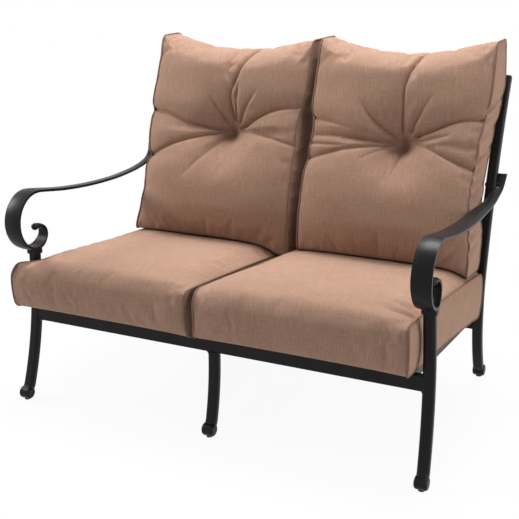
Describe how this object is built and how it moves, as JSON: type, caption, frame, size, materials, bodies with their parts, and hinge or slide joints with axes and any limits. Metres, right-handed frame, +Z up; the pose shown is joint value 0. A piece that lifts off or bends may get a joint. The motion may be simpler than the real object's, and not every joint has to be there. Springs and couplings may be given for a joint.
{
  "type": "patio loveseat",
  "caption": "Two-seat outdoor sofa with a cast frame, scrolled arms, curved legs, box seat cushions and tufted back cushions.",
  "frame": {"origin": "on the floor under the middle of the loveseat's box", "axes": "+X runs along the width, to the right when seen from the front; -Y is the front; +Z is up"},
  "size_m": [1.2644, 0.8859, 1.0317],
  "materials": {
    "frame": "dark bronze powder coat on cast aluminium, satin",
    "hardware": "dark coated stainless steel",
    "glide": "black nylon",
    "canvas": "tan brown woven canvas with self piping"
  },
  "bodies": {
    "root": {"front_left_leg": "frame", "front_center_leg": "frame", "front_right_leg": "frame", "rear_center_leg": "frame", "left_back_post": "frame", "right_back_post": "frame", "left_arm": "frame", "right_arm": "frame", "front_rail": "frame", "rear_rail": "frame", "lower_back_rail": "frame", "back_top_rail": "frame", "back_bar_1": "frame", "back_bar_2": "frame", "back_bar_3": "frame", "back_bar_4": "frame", "back_bar_5": "frame", "back_bar_6": "frame", "back_bar_7": "frame", "side_bearer_left": "frame", "center_bearer": "frame", "side_bearer_right": "frame", "seat_slat_1": "frame", "seat_slat_2": "frame", "seat_slat_3": "frame", "seat_slat_4": "frame", "seat_slat_5": "frame", "seat_slat_6": "frame", "seat_slat_7": "frame", "arm_post_bolts": "hardware", "arm_leg_studs": "hardware", "slat_screws": "hardware", "front_left_glide": "glide", "front_center_glide": "glide", "front_right_glide": "glide", "rear_left_glide": "glide", "rear_center_glide": "glide", "rear_right_glide": "glide"},
    "seat_cushion_left": {"seat_cushion_left": "canvas"},
    "seat_cushion_right": {"seat_cushion_right": "canvas"},
    "back_cushion_left": {"back_cushion_left": "canvas"},
    "back_cushion_right": {"back_cushion_right": "canvas"}
  },
  "joints": [
    {"name": "seat_cushion_left_slide", "type": "slide", "parent": "root", "child": "seat_cushion_left", "axis": [0, -0.9945, 0.1045], "range_m": [0, 0.13]},
    {"name": "seat_cushion_right_slide", "type": "slide", "parent": "root", "child": "seat_cushion_right", "axis": [0, -0.9945, 0.1045], "range_m": [0, 0.13]},
    {"name": "back_cushion_left_slide", "type": "slide", "parent": "root", "child": "back_cushion_left", "axis": [0, -0.9945, 0.1045], "range_m": [0, 0.2]},
    {"name": "back_cushion_right_slide", "type": "slide", "parent": "root", "child": "back_cushion_right", "axis": [0, -0.9945, 0.1045], "range_m": [0, 0.2]}
  ]
}
